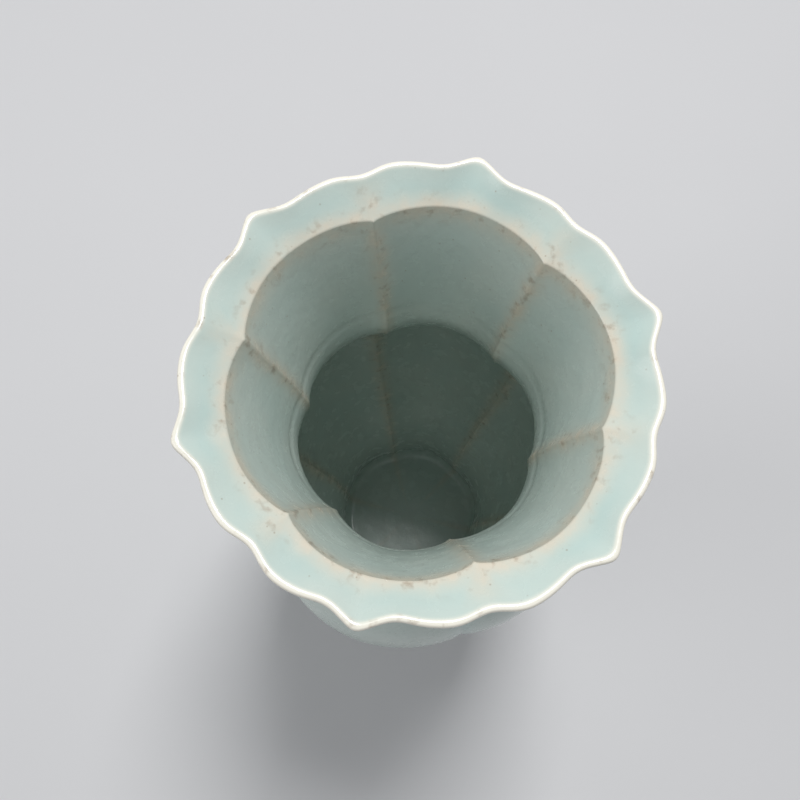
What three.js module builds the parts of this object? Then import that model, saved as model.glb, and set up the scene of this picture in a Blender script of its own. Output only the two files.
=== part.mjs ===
import * as THREE from 'three';

// A lobed celadon vase with a foliate mouth. Millimetres, +Z up.
// The origin is under the middle of the foot ring, and a petal tip of the mouth points along +Y.

// Driving sizes. Radii are taken at the middle of a petal, apart from the mouth's mean radius.
const PETALS = 6;
const STEPS_PER_PETAL = 8;
const VASE_HEIGHT = 222;
const MOUTH_MEAN_RADIUS = 50;
const LIP_DROP = 4.8;
const RIDGE_RADIUS = 41.8;
const LIP_THICKNESS = 2;
const LIP_SEAM_DROP = 12;
const LUTING_SEAM_DROP = 40;
const THROAT_DROP = 47;
const THROAT_RADIUS = 31.5;
const BELLY_RADIUS = 56.5;
const BELLY_HEIGHT = 122;
const WAIST_RADIUS = 33;
const WAIST_HEIGHT = 24;
const FOOT_RADIUS = 36;
const FOOT_RING_WIDTH = 5;
const FOOT_RECESS = 5;
const FLOOR_THICKNESS = 7;
const WALL = 4;
const SEAM_THICKNESS = 0.8;

// Depth of the groove between two petals, at each level.
const RIDGE_GROOVE = 3;
const THROAT_GROOVE = 2;
const BELLY_GROOVE = 3;
const WAIST_GROOVE = 1.5;
const FOOT_GROOVE = 0.6;
const GROOVE_SHARPNESS = 0.7;

// The mouth's outline as shares of its mean radius, one for each harmonic of the petal count.
const MOUTH_HARMONICS = [0.0135, 0.0052, 0.0166, 0.003, 0.0036];

const RIDGE_HEIGHT = VASE_HEIGHT - LIP_DROP;
const THROAT_HEIGHT = VASE_HEIGHT - THROAT_DROP;
const FLOOR_HEIGHT = FOOT_RECESS + FLOOR_THICKNESS;
const LIP_SEAM_HEIGHT = VASE_HEIGHT - LIP_SEAM_DROP;
const LUTING_SEAM_HEIGHT = VASE_HEIGHT - LUTING_SEAM_DROP;
const AROUND = PETALS * STEPS_PER_PETAL;

const mix = (a, b, t) => a + (b - a) * t;
const ease = (t) => t * t * (3 - 2 * t);

// How far a point is from a groove: 1 at the middle of a petal and 0 at the groove.
function fullness(angle) {
  return Math.abs(Math.cos(angle * PETALS / 2)) ** GROOVE_SHARPNESS;
}

function mouthShare(angle) {
  return MOUTH_HARMONICS.reduce((sum, share, i) => sum + share * Math.cos(PETALS * (i + 1) * angle), 0);
}

// The outer face below the mouth: radius and groove depth at a height.
function outerFace(z) {
  if (z <= WAIST_HEIGHT) {
    const t = ease(z / WAIST_HEIGHT);
    return { radius: mix(FOOT_RADIUS, WAIST_RADIUS, t), groove: mix(FOOT_GROOVE, WAIST_GROOVE, t), z };
  }
  if (z <= BELLY_HEIGHT) {
    const t = ease((z - WAIST_HEIGHT) / (BELLY_HEIGHT - WAIST_HEIGHT));
    return { radius: mix(WAIST_RADIUS, BELLY_RADIUS, t), groove: mix(WAIST_GROOVE, BELLY_GROOVE, t), z };
  }
  if (z <= THROAT_HEIGHT) {
    const t = ease((z - BELLY_HEIGHT) / (THROAT_HEIGHT - BELLY_HEIGHT));
    return { radius: mix(BELLY_RADIUS, THROAT_RADIUS + WALL, t), groove: mix(BELLY_GROOVE, THROAT_GROOVE, t), z };
  }
  const t = ((z - THROAT_HEIGHT) / (RIDGE_HEIGHT - THROAT_HEIGHT)) ** 1.5;
  const radius = mix(THROAT_RADIUS + WALL, RIDGE_RADIUS + LIP_THICKNESS, t);
  return { radius, groove: mix(THROAT_GROOVE, RIDGE_GROOVE, t), z };
}

// The inner face keeps the wall's thickness, which thins from the throat up to the lip.
function innerFace(z) {
  const face = outerFace(z);
  const t = Math.max(0, (z - THROAT_HEIGHT) / (RIDGE_HEIGHT - THROAT_HEIGHT));
  return { ...face, radius: face.radius - mix(WALL, LIP_THICKNESS, t) };
}

function heights(from, to, count) {
  return Array.from({ length: count + 1 }, (_, i) => mix(from, to, i / count));
}

// A closed outline of a ring's wall between two level planes: up the outside, down the inside.
function wallOutline(bottom, top, rows) {
  const levels = heights(bottom, top, rows);
  return [...levels.map(outerFace), ...levels.reverse().map(innerFace)];
}

// Turns an outline round the axis, with its petals. A point on the axis becomes one vertex.
function turned(outline) {
  const positions = [];
  const rows = outline.map((point) => {
    const count = point.radius === 0 ? 1 : AROUND;
    return Array.from({ length: count }, (_, i) => {
      const angle = (i / AROUND) * 2 * Math.PI;
      const petal = point.mouth ? point.radius * mouthShare(angle) * point.mouth : 0;
      const r = point.radius === 0 ? 0 : point.radius + petal - point.groove * (1 - fullness(angle));
      positions.push(-r * Math.sin(angle), r * Math.cos(angle), point.z);
      return positions.length / 3 - 1;
    });
  });
  const closed = outline[0].radius > 0;
  const index = [];
  const bands = closed ? rows.length : rows.length - 1;
  for (let band = 0; band < bands; band += 1) {
    const low = rows[band];
    const high = rows[(band + 1) % rows.length];
    for (let i = 0; i < AROUND; i += 1) {
      const next = (i + 1) % AROUND;
      if (low.length > 1) index.push(low[i], low[next], high[next % high.length]);
      if (high.length > 1) index.push(low[i % low.length], high[next], high[i]);
    }
  }
  const geometry = new THREE.BufferGeometry();
  geometry.setAttribute('position', new THREE.Float32BufferAttribute(positions, 3));
  geometry.setIndex(index);
  geometry.computeVertexNormals();
  return geometry;
}

// The lip turns out from the ridge to the rounded petal edge.
function lipOutline() {
  const mouth = (radius, z, weight, groove = 0) => ({ radius, z, groove, mouth: weight });
  const underside = (t) => mouth(
    mix(RIDGE_RADIUS + LIP_THICKNESS, MOUTH_MEAN_RADIUS, t),
    mix(RIDGE_HEIGHT, VASE_HEIGHT, t) - LIP_THICKNESS,
    t,
    RIDGE_GROOVE * (1 - t),
  );
  const topside = (t) => mouth(
    mix(RIDGE_RADIUS, MOUTH_MEAN_RADIUS - LIP_THICKNESS / 2, t),
    mix(RIDGE_HEIGHT, VASE_HEIGHT, t),
    t,
    RIDGE_GROOVE * (1 - t),
  );
  const below = heights(LIP_SEAM_HEIGHT, RIDGE_HEIGHT - LIP_THICKNESS * 2, 2);
  const inside = heights(RIDGE_HEIGHT - LIP_THICKNESS, LIP_SEAM_HEIGHT, 2);
  return [
    ...below.map(outerFace),
    underside(0), underside(0.5), underside(0.95),
    mouth(MOUTH_MEAN_RADIUS + LIP_THICKNESS / 5, VASE_HEIGHT - LIP_THICKNESS / 2, 1),
    topside(1), topside(0.66), topside(0.33), topside(0),
    ...inside.map(innerFace),
  ];
}

// The foot holds the vase's floor, with a recess inside its ring.
function footOutline(top) {
  const levels = heights(0, top, 6);
  const inside = heights(top, FLOOR_HEIGHT + FLOOR_THICKNESS / 3, 2);
  const onAxis = (z) => ({ radius: 0, z, groove: 0 });
  const ringInside = FOOT_RADIUS - FOOT_RING_WIDTH;
  const floorEdge = innerFace(FLOOR_HEIGHT).radius - FLOOR_THICKNESS / 3;
  return [
    onAxis(FOOT_RECESS),
    { radius: ringInside - 1, z: FOOT_RECESS, groove: 0 },
    { radius: ringInside, z: 0, groove: 0 },
    ...levels.map(outerFace),
    ...inside.map(innerFace),
    { radius: floorEdge, z: FLOOR_HEIGHT, groove: WAIST_GROOVE },
    onAxis(FLOOR_HEIGHT),
  ];
}

const vase = new THREE.Group();

function addPiece(name, outline, colour, roughness) {
  const material = new THREE.MeshStandardMaterial({ color: colour, roughness, metalness: 0 });
  const mesh = new THREE.Mesh(turned(outline), material);
  mesh.name = name;
  vase.add(mesh);
}

const CELADON = 0xc3d7d2;
const SLIP = 0xd9cfc0;
const GLOSS = 0.2;
const BISCUIT = 0.8;

// A slip seam fills the space under a section's lower plane.
function addSeam(name, top) {
  addPiece(name, wallOutline(top - SEAM_THICKNESS, top, 1), SLIP, BISCUIT);
}

addPiece('mouth_lip', lipOutline(), CELADON, GLOSS);
addSeam('lip_seam', LIP_SEAM_HEIGHT);
addPiece('neck', wallOutline(LUTING_SEAM_HEIGHT, LIP_SEAM_HEIGHT - SEAM_THICKNESS, 5), CELADON, GLOSS);
addSeam('neck_seam', LUTING_SEAM_HEIGHT);
addPiece('shoulder', wallOutline(BELLY_HEIGHT, LUTING_SEAM_HEIGHT - SEAM_THICKNESS, 8), CELADON, GLOSS);
addSeam('belly_seam', BELLY_HEIGHT);
addPiece('lower_body', wallOutline(WAIST_HEIGHT, BELLY_HEIGHT - SEAM_THICKNESS, 10), CELADON, GLOSS);
addSeam('foot_seam', WAIST_HEIGHT);
addPiece('foot', footOutline(WAIST_HEIGHT - SEAM_THICKNESS), CELADON, GLOSS);

export default vase;
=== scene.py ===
import math

import bpy
import numpy as np
from mathutils import Matrix, Vector


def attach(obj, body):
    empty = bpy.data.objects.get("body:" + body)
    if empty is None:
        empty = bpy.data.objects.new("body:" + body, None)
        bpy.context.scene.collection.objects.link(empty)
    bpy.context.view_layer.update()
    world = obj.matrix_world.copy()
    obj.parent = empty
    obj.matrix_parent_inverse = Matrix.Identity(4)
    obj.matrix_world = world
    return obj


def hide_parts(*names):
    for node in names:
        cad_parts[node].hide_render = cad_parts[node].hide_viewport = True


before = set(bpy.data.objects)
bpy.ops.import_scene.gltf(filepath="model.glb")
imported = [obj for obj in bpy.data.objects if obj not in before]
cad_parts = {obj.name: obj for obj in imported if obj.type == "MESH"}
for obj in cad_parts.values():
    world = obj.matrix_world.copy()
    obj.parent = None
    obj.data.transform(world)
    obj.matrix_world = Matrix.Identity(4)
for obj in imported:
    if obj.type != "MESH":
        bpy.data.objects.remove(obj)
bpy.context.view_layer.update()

MM = 0.001

# Sizes of the vase, in millimetres, as in the solids.
PETALS = 6
AROUND = 432
VASE_HEIGHT = 222
MOUTH_MEAN_RADIUS = 50
LIP_DROP = 4.8
RIDGE_RADIUS = 41.8
LIP_THICKNESS = 2
LUTING_SEAM_DROP = 40
THROAT_DROP = 47
THROAT_RADIUS = 31.5
BELLY_RADIUS = 56.5
BELLY_HEIGHT = 122
WAIST_RADIUS = 33
WAIST_HEIGHT = 24
FOOT_RADIUS = 36
FOOT_RING_WIDTH = 5
FOOT_RECESS = 5
FLOOR_THICKNESS = 7
WALL = 4
RIDGE_GROOVE = 3
THROAT_GROOVE = 2
BELLY_GROOVE = 3
WAIST_GROOVE = 1.5
FOOT_GROOVE = 0.6
GROOVE_SHARPNESS = 0.7
MOUTH_HARMONICS = (0.0135, 0.0052, 0.0166, 0.003, 0.0036)
GLAZE_LINE = 3
BED_HEIGHT = 6
BED_GAP = 0.02
BED_EDGE = 1
AXIS_RADIUS = 0.4
RECESS_SLOPE = 1
CREASE_DEPTH = 0.35
CREASE_WIDTH = 0.5
RIDGE_WEAR = 4
LIP_SAG = 0.25
RIM_START = 0.91
FLOOR_ROUNDING = 3
UNEVENNESS = 0.22
TIP_POINT = 0.009
TIP_WIDTH = 0.12
RIB_WIDTH = 0.2

RIDGE_HEIGHT = VASE_HEIGHT - LIP_DROP
THROAT_HEIGHT = VASE_HEIGHT - THROAT_DROP
SEAM_HEIGHT = VASE_HEIGHT - LUTING_SEAM_DROP
FLOOR_HEIGHT = FOOT_RECESS + FLOOR_THICKNESS

# The camera stands near the mouth and looks steeply into it.
CAMERA_AZIMUTH = math.radians(14.6)
CAMERA_TILT = math.radians(15.9)
CAMERA_DISTANCE = 164.4 * MM
CAMERA_SIDE = -4.5 * MM
CAMERA_RISE = -4.9 * MM

# Colours are linear.
CELADON = (0.57, 0.65, 0.60, 1)
POOLED = (0.46, 0.60, 0.57, 1)
THIN_GLAZE = (0.66, 0.60, 0.49, 1)
RIM_WHITE = (0.86, 0.83, 0.73, 1)
IRON_STAIN = (0.24, 0.15, 0.08, 1)
BARE_CLAY = (0.55, 0.38, 0.26, 1)

# The world's strength as light, and as a pale background.
WORLD_LIGHT = 0.3
WORLD_SEEN = 0.65


def mix(a, b, t):
    return a + (b - a) * t


def ease(t):
    return t * t * (3 - 2 * t)


def outer_face(z):
    """Radius and groove depth of the outer face at a height below the lip."""
    if z <= WAIST_HEIGHT:
        t = ease(z / WAIST_HEIGHT)
        return mix(FOOT_RADIUS, WAIST_RADIUS, t), mix(FOOT_GROOVE, WAIST_GROOVE, t)
    if z <= BELLY_HEIGHT:
        t = ease((z - WAIST_HEIGHT) / (BELLY_HEIGHT - WAIST_HEIGHT))
        return mix(WAIST_RADIUS, BELLY_RADIUS, t), mix(WAIST_GROOVE, BELLY_GROOVE, t)
    if z <= THROAT_HEIGHT:
        t = ease((z - BELLY_HEIGHT) / (THROAT_HEIGHT - BELLY_HEIGHT))
        return mix(BELLY_RADIUS, THROAT_RADIUS + WALL, t), mix(BELLY_GROOVE, THROAT_GROOVE, t)
    t = ((z - THROAT_HEIGHT) / (RIDGE_HEIGHT - THROAT_HEIGHT)) ** 1.5
    return mix(THROAT_RADIUS + WALL, RIDGE_RADIUS + LIP_THICKNESS, t), mix(THROAT_GROOVE, RIDGE_GROOVE, t)


def plain_row(radius, z, groove=0):
    """A row that turns round the axis. mouth, rim, ridge and inside are shares from 0 to 1."""
    return {"radius": radius, "z": z, "groove": groove, "mouth": 0, "rim": 0, "ridge": 0, "inside": 0}


def outer_row(z):
    radius, groove = outer_face(z)
    return plain_row(radius, z, groove)


def inner_row(z):
    """A row on the inner face, with the crease above the throat."""
    share = max(0, (z - THROAT_HEIGHT) / (RIDGE_HEIGHT - THROAT_HEIGHT))
    row = outer_row(z)
    row["radius"] -= mix(WALL, LIP_THICKNESS, share)
    row["radius"] += CREASE_DEPTH * math.exp(-((z - SEAM_HEIGHT) / CREASE_WIDTH) ** 2)
    row["ridge"] = math.exp(-((z - RIDGE_HEIGHT) / RIDGE_WEAR) ** 2)
    row["inside"] = 1
    return row


def lip_row(t, drop):
    """A row on the lip: t runs from the ridge to the petal edge, drop is 0 on top."""
    edge = MOUTH_MEAN_RADIUS if drop else MOUTH_MEAN_RADIUS - LIP_THICKNESS / 2
    start = RIDGE_RADIUS + (LIP_THICKNESS if drop else 0)
    sag = LIP_SAG * math.sin(math.pi * t)
    return {
        "radius": mix(start, edge, t),
        "z": mix(RIDGE_HEIGHT, VASE_HEIGHT, t) - drop - sag,
        "groove": RIDGE_GROOVE * (1 - t),
        "mouth": t,
        "rim": max(0, (t - RIM_START) / (1 - RIM_START)),
        "ridge": math.exp(-(t / 0.32) ** 2),
        "inside": 0 if drop else 1,
    }


def vessel_rows():
    """Out along the hidden bed on the foot, up the outside, over the lip and down to the floor."""
    bed = (AXIS_RADIUS, FOOT_RADIUS - FOOT_RING_WIDTH)
    rows = [plain_row(radius, BED_HEIGHT + BED_GAP) for radius in bed]
    rows.append(plain_row(FOOT_RADIUS - BED_EDGE, GLAZE_LINE + BED_GAP))
    rows += [outer_row(z) for z in np.linspace(GLAZE_LINE + BED_GAP, RIDGE_HEIGHT - 2 * LIP_THICKNESS, 110)]
    rows += [lip_row(t, LIP_THICKNESS) for t in np.linspace(0, 0.95, 14)]
    for angle in np.linspace(-60, 60, 7):
        edge = lip_row(1, 0)
        edge["radius"] += LIP_THICKNESS * 0.6 * math.cos(math.radians(angle))
        edge["z"] += LIP_THICKNESS * (0.5 * math.sin(math.radians(angle)) - 0.43)
        rows.append(edge)
    rows += [lip_row(t, 0) for t in np.linspace(0.97, 0, 24)]
    rows += [inner_row(z) for z in np.linspace(RIDGE_HEIGHT - 0.3, FLOOR_HEIGHT + FLOOR_ROUNDING, 150)]
    floor_edge = rows[-1]["radius"]
    for t in np.linspace(0.15, 1, 12):
        row = inner_row(FLOOR_HEIGHT + FLOOR_ROUNDING * (1 - t) ** 2)
        row["radius"] = floor_edge * (1 - 0.12 * t)
        rows.append(row)
    for radius in np.linspace(floor_edge * 0.8, AXIS_RADIUS, 10):
        row = inner_row(FLOOR_HEIGHT)
        row["radius"] = radius
        row["groove"] *= radius / floor_edge
        rows.append(row)
    return rows


def foot_rows():
    """Across the recess, down inside the ring, up its outside, and back along the hidden bed."""
    ring_inside = FOOT_RADIUS - FOOT_RING_WIDTH
    recess_edge = ring_inside - RECESS_SLOPE
    slope = np.linspace(0, 0.9, 6)[1:]
    rows = [plain_row(radius, FOOT_RECESS) for radius in np.linspace(AXIS_RADIUS, recess_edge, 10)]
    rows += [plain_row(recess_edge + RECESS_SLOPE * t, FOOT_RECESS * (1 - t)) for t in slope]
    rows.append(plain_row(ring_inside + 0.5, 0))
    rows.append({**outer_row(0), "radius": FOOT_RADIUS - 0.8})
    rows.append({**outer_row(0.5), "radius": FOOT_RADIUS - 0.1})
    rows += [outer_row(z) for z in np.linspace(1, GLAZE_LINE, 5)]
    rows.append(plain_row(FOOT_RADIUS - BED_EDGE, GLAZE_LINE))
    rows += [plain_row(radius, BED_HEIGHT) for radius in (ring_inside, AXIS_RADIUS)]
    return rows


def wander(angle, z):
    """The hand-made unevenness of the wall, the same on both faces."""
    turn = np.sin(angle + 1.1) + 0.6 * np.sin(2 * angle - 0.7) + 0.5 * np.sin(3 * angle + 2 + z / 40)
    small = 0.4 * np.sin(5 * angle + z / 17) + 0.3 * np.sin(11 * angle - z / 9)
    return UNEVENNESS * (turn + small)


def turned_mesh(name, rows):
    """Turns rows round the axis, with their petals, and keeps where the glaze thins."""
    angle = np.arange(AROUND) * 2 * math.pi / AROUND
    full = np.abs(np.cos(angle * PETALS / 2)) ** GROOVE_SHARPNESS
    share = sum(a * np.cos(PETALS * (i + 1) * angle) for i, a in enumerate(MOUTH_HARMONICS))
    share = share + 0.004 * np.sin(7 * angle + 0.6) + 0.003 * np.sin(13 * angle + 2)
    to_groove = np.abs(np.cos(angle * PETALS / 2))
    to_tip = np.abs(np.sin(angle * PETALS / 2))
    share = share + TIP_POINT * np.exp(-(to_tip / TIP_WIDTH) ** 2)
    rib = np.exp(-(to_groove / RIB_WIDTH) ** 2)
    points, thin, rim, pool = [], [], [], []
    for row in rows:
        uneven = wander(angle, row["z"]) * min(1, max(0, (row["z"] - 8) / 20))
        uneven = uneven * (row["radius"] > 1)
        r = row["radius"] * (1 + share * row["mouth"]) - row["groove"] * (1 - full) + uneven
        points.append(np.column_stack((-r * np.sin(angle), r * np.cos(angle), np.full(AROUND, row["z"]))))
        standing = row["inside"] * min(1, row["groove"] / 2)
        sunk = (1 - row["inside"]) * min(1, row["groove"] / 2)
        on_lip = np.exp(-((row["mouth"] - 0.45) / 0.3) ** 2) * full * (row["mouth"] > 0)
        thin.append(np.maximum(row["ridge"], rib * standing))
        rim.append(np.full(AROUND, row["rim"]))
        pool.append(np.maximum(on_lip, rib * sunk))
    faces = []
    for k in range(len(rows) - 1):
        low = k * AROUND
        high = low + AROUND
        for i in range(AROUND):
            j = (i + 1) % AROUND
            faces.append((low + i, low + j, high + j, high + i))
    faces.append(tuple(range(AROUND))[::-1])
    last = (len(rows) - 1) * AROUND
    faces.append(tuple(range(last, last + AROUND)))
    mesh = bpy.data.meshes.new(name)
    mesh.from_pydata((np.concatenate(points) * MM).tolist(), [], faces)
    for key, values in (("thin", thin), ("rim", rim), ("pool", pool)):
        mesh.attributes.new(key, "FLOAT", "POINT").data.foreach_set("value", np.concatenate(values))
    mesh.shade_smooth()
    piece = bpy.data.objects.new(name, mesh)
    bpy.context.scene.collection.objects.link(piece)
    return piece


class Nodes:
    """A material's node tree, with short calls for the nodes used here."""

    def __init__(self, name):
        self.material = bpy.data.materials.new(name)
        self.material.use_nodes = True
        self.tree = self.material.node_tree
        self.shader = self.tree.nodes["Principled BSDF"]
        self.place = self.tree.nodes.new("ShaderNodeTexCoord").outputs["Object"]

    def link(self, out, into):
        self.tree.links.new(out, into)

    def attribute(self, name):
        node = self.tree.nodes.new("ShaderNodeAttribute")
        node.attribute_name = name
        return node.outputs["Fac"]

    def noise(self, scale, detail=4):
        node = self.tree.nodes.new("ShaderNodeTexNoise")
        node.inputs["Scale"].default_value = scale
        node.inputs["Detail"].default_value = detail
        self.link(self.place, node.inputs["Vector"])
        return node.outputs["Fac"]

    def dots(self, scale, size):
        """1 inside small scattered dots, and 0 outside them."""
        node = self.tree.nodes.new("ShaderNodeTexVoronoi")
        node.inputs["Scale"].default_value = scale
        self.link(self.place, node.inputs["Vector"])
        return self.band(node.outputs["Distance"], size, 0)

    def band(self, value, low, high):
        node = self.tree.nodes.new("ShaderNodeMapRange")
        node.inputs["From Min"].default_value = low
        node.inputs["From Max"].default_value = high
        self.link(value, node.inputs["Value"])
        return node.outputs["Result"]

    def math(self, operation, a, b):
        node = self.tree.nodes.new("ShaderNodeMath")
        node.operation = operation
        node.use_clamp = True
        for socket, value in zip(node.inputs, (a, b)):
            if isinstance(value, (int, float)):
                socket.default_value = value
            else:
                self.link(value, socket)
        return node.outputs["Value"]

    def blend(self, share, a, b):
        node = self.tree.nodes.new("ShaderNodeMix")
        node.data_type = "RGBA"
        self.link(share, node.inputs["Factor"])
        for socket, value in ((node.inputs[6], a), (node.inputs[7], b)):
            if isinstance(value, tuple):
                socket.default_value = value
            else:
                self.link(value, socket)
        return node.outputs[2]

    def bump(self, height, strength, distance):
        node = self.tree.nodes.new("ShaderNodeBump")
        node.inputs["Strength"].default_value = strength
        node.inputs["Distance"].default_value = distance
        self.link(height, node.inputs["Height"])
        self.link(node.outputs["Normal"], self.shader.inputs["Normal"])


def celadon_material():
    """Glaze that is bluer where it pools and shows cream clay where it runs thin."""
    n = Nodes("celadon_glaze")
    cloud = n.band(n.noise(60), 0.35, 0.65)
    patch = n.band(n.noise(220, 6), 0.4, 0.68)
    pooled = n.math("MULTIPLY", n.attribute("pool"), n.math("ADD", n.math("MULTIPLY", cloud, 0.5), 0.4))
    colour = n.blend(n.math("MULTIPLY", cloud, 0.35), CELADON, POOLED)
    colour = n.blend(pooled, colour, POOLED)
    worn = n.math("MULTIPLY", n.attribute("thin"), n.math("ADD", n.math("MULTIPLY", patch, 0.5), 0.5))
    colour = n.blend(worn, colour, THIN_GLAZE)
    stain = n.math("MULTIPLY", n.attribute("thin"), n.band(n.noise(420, 8), 0.56, 0.72))
    colour = n.blend(n.math("MULTIPLY", stain, 0.5), colour, IRON_STAIN)
    colour = n.blend(n.attribute("rim"), colour, RIM_WHITE)
    rim_stain = n.math("MULTIPLY", n.attribute("rim"), n.band(n.noise(300, 6), 0.58, 0.75))
    colour = n.blend(n.math("MULTIPLY", rim_stain, 0.55), colour, IRON_STAIN)
    sparse = n.band(n.noise(150, 2), 0.52, 0.6)
    specks = n.math("MULTIPLY", n.dots(450, 0.13), sparse)
    colour = n.blend(n.math("MULTIPLY", specks, 0.7), colour, IRON_STAIN)
    n.link(colour, n.shader.inputs["Base Color"])
    roughness = n.math("ADD", n.math("MULTIPLY", patch, 0.12), 0.2)
    n.link(roughness, n.shader.inputs["Roughness"])
    n.shader.inputs["Coat Weight"].default_value = 0.35
    n.shader.inputs["Coat Roughness"].default_value = 0.12
    n.bump(n.noise(180, 3), 0.25, 0.0006)
    return n.material


def clay_material():
    """Bare fired clay, warm and gritty, on the foot ring."""
    n = Nodes("bare_clay")
    grit = n.band(n.noise(900, 8), 0.4, 0.65)
    colour = n.blend(n.math("MULTIPLY", grit, 0.5), BARE_CLAY, THIN_GLAZE)
    n.link(colour, n.shader.inputs["Base Color"])
    n.shader.inputs["Roughness"].default_value = 0.85
    n.bump(grit, 0.4, 0.0003)
    return n.material


def floor_material():
    n = Nodes("pale_floor")
    colour = n.blend(n.noise(3), (0.62, 0.62, 0.63, 1), (0.68, 0.68, 0.69, 1))
    n.link(colour, n.shader.inputs["Base Color"])
    n.shader.inputs["Roughness"].default_value = 0.9
    return n.material


def add_vase():
    vessel = turned_mesh("glazed_vessel", vessel_rows())
    vessel.data.materials.append(celadon_material())
    foot = turned_mesh("foot_ring_clay", foot_rows())
    foot.data.materials.append(clay_material())
    for piece, slot in ((vessel, "celadon_glaze"), (foot, "slip")):
        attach(piece, "root")
    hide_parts(*[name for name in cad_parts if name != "foot"])
    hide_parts("foot")


def add_floor():
    mesh = bpy.data.meshes.new("floor")
    side = 6
    corners = [(-side, -side, 0), (side, -side, 0), (side, side, 0), (-side, side, 0)]
    mesh.from_pydata(corners, [], [(0, 1, 2, 3)])
    floor = bpy.data.objects.new("floor", mesh)
    floor.data.materials.append(floor_material())
    bpy.context.scene.collection.objects.link(floor)


def camera_axes():
    """Right, up and back of the camera in the vase's frame."""
    right = Vector((math.cos(CAMERA_AZIMUTH), math.sin(CAMERA_AZIMUTH), 0))
    away = Vector((-math.sin(CAMERA_AZIMUTH), math.cos(CAMERA_AZIMUTH), 0))
    up_axis = Vector((0, 0, 1))
    back = up_axis * math.cos(CAMERA_TILT) - away * math.sin(CAMERA_TILT)
    up = away * math.cos(CAMERA_TILT) + up_axis * math.sin(CAMERA_TILT)
    return right, up, back


def placed(obj, right, up, back, location):
    turn = Matrix((right, up, back)).transposed().to_4x4()
    obj.matrix_world = Matrix.Translation(location) @ turn


def add_camera():
    data = bpy.data.cameras.new("camera")
    data.sensor_width = 36
    data.lens = 36
    data.clip_start = 0.01
    camera = bpy.data.objects.new("camera", data)
    bpy.context.scene.collection.objects.link(camera)
    right, up, back = camera_axes()
    mouth = Vector((0, 0, VASE_HEIGHT * MM))
    placed(camera, right, up, back, mouth + back * CAMERA_DISTANCE + right * CAMERA_SIDE + up * CAMERA_RISE)
    bpy.context.scene.camera = camera


def add_lamp(name, direction, distance, size, power):
    data = bpy.data.lights.new(name, "AREA")
    data.size = size
    data.energy = power
    lamp = bpy.data.objects.new(name, data)
    bpy.context.scene.collection.objects.link(lamp)
    back = direction.normalized()
    turn = back.to_track_quat("Z", "Y").to_matrix().to_4x4()
    target = Vector((0, 0, VASE_HEIGHT * MM * 0.8))
    lamp.matrix_world = Matrix.Translation(target + back * distance) @ turn


def add_light():
    """A soft key over the mouth, a wide lamp at the side, and an even pale world."""
    right, up, back = camera_axes()
    add_lamp("key", up * 0.75 + right * 0.15 + back * 1.0, 1.1, 0.35, 10)
    add_lamp("side", right * -1.0 + back * 0.5, 1.3, 0.9, 4)
    world = bpy.data.worlds.new("world")
    world.use_nodes = True
    tree = world.node_tree
    background = tree.nodes["Background"]
    background.inputs["Color"].default_value = (0.95, 0.97, 1, 1)
    seen = tree.nodes.new("ShaderNodeLightPath").outputs["Is Camera Ray"]
    level = tree.nodes.new("ShaderNodeMapRange")
    level.inputs["To Min"].default_value = WORLD_LIGHT
    level.inputs["To Max"].default_value = WORLD_SEEN
    tree.links.new(seen, level.inputs["Value"])
    tree.links.new(level.outputs["Result"], background.inputs["Strength"])
    bpy.context.scene.world = world


add_vase()
add_floor()
add_camera()
add_light()
bpy.context.scene.view_settings.view_transform = "Standard"
bpy.context.view_layer.update()
